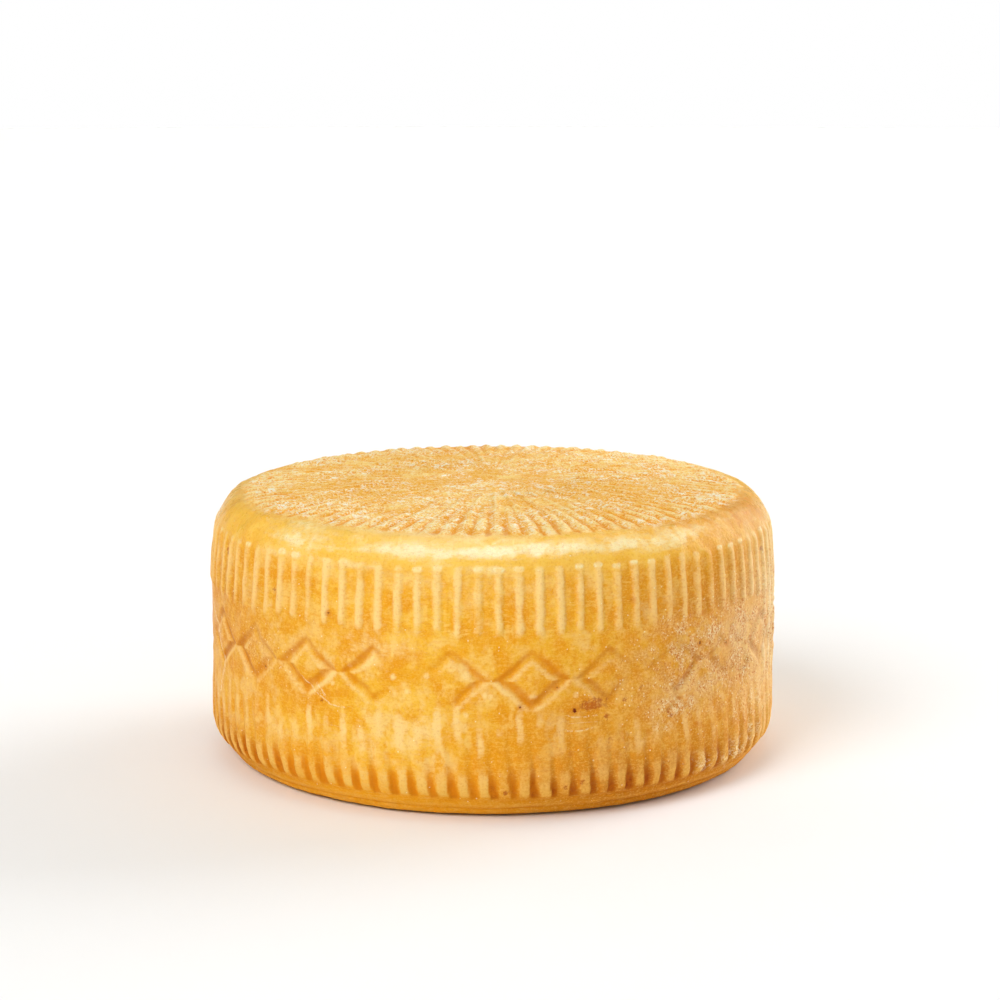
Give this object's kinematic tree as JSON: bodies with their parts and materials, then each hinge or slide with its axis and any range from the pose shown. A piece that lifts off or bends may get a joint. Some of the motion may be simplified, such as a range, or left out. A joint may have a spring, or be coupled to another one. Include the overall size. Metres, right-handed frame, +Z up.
{
  "type": "cheese wheel",
  "caption": "Whole wheel of hard pressed cheese with a ribbed golden rind, smooth round shoulders, a belly band of sunk lozenges and a domed top with radial ridges.",
  "frame": {"origin": "centre of the flat underside that the wheel rests on", "axes": "+Z up along the wheel's own axis, -Y towards the side that was pictured, +X to the right of it"},
  "size_m": [0.2815, 0.2811, 0.1341],
  "materials": {
    "rind": "waxy golden cheese rind, paler on the ribs and the shoulder, darker amber between the ribs, mottled brown in places; soft sheen"
  },
  "bodies": {
    "root": {"cheese_wheel": "rind"}
  },
  "joints": []
}
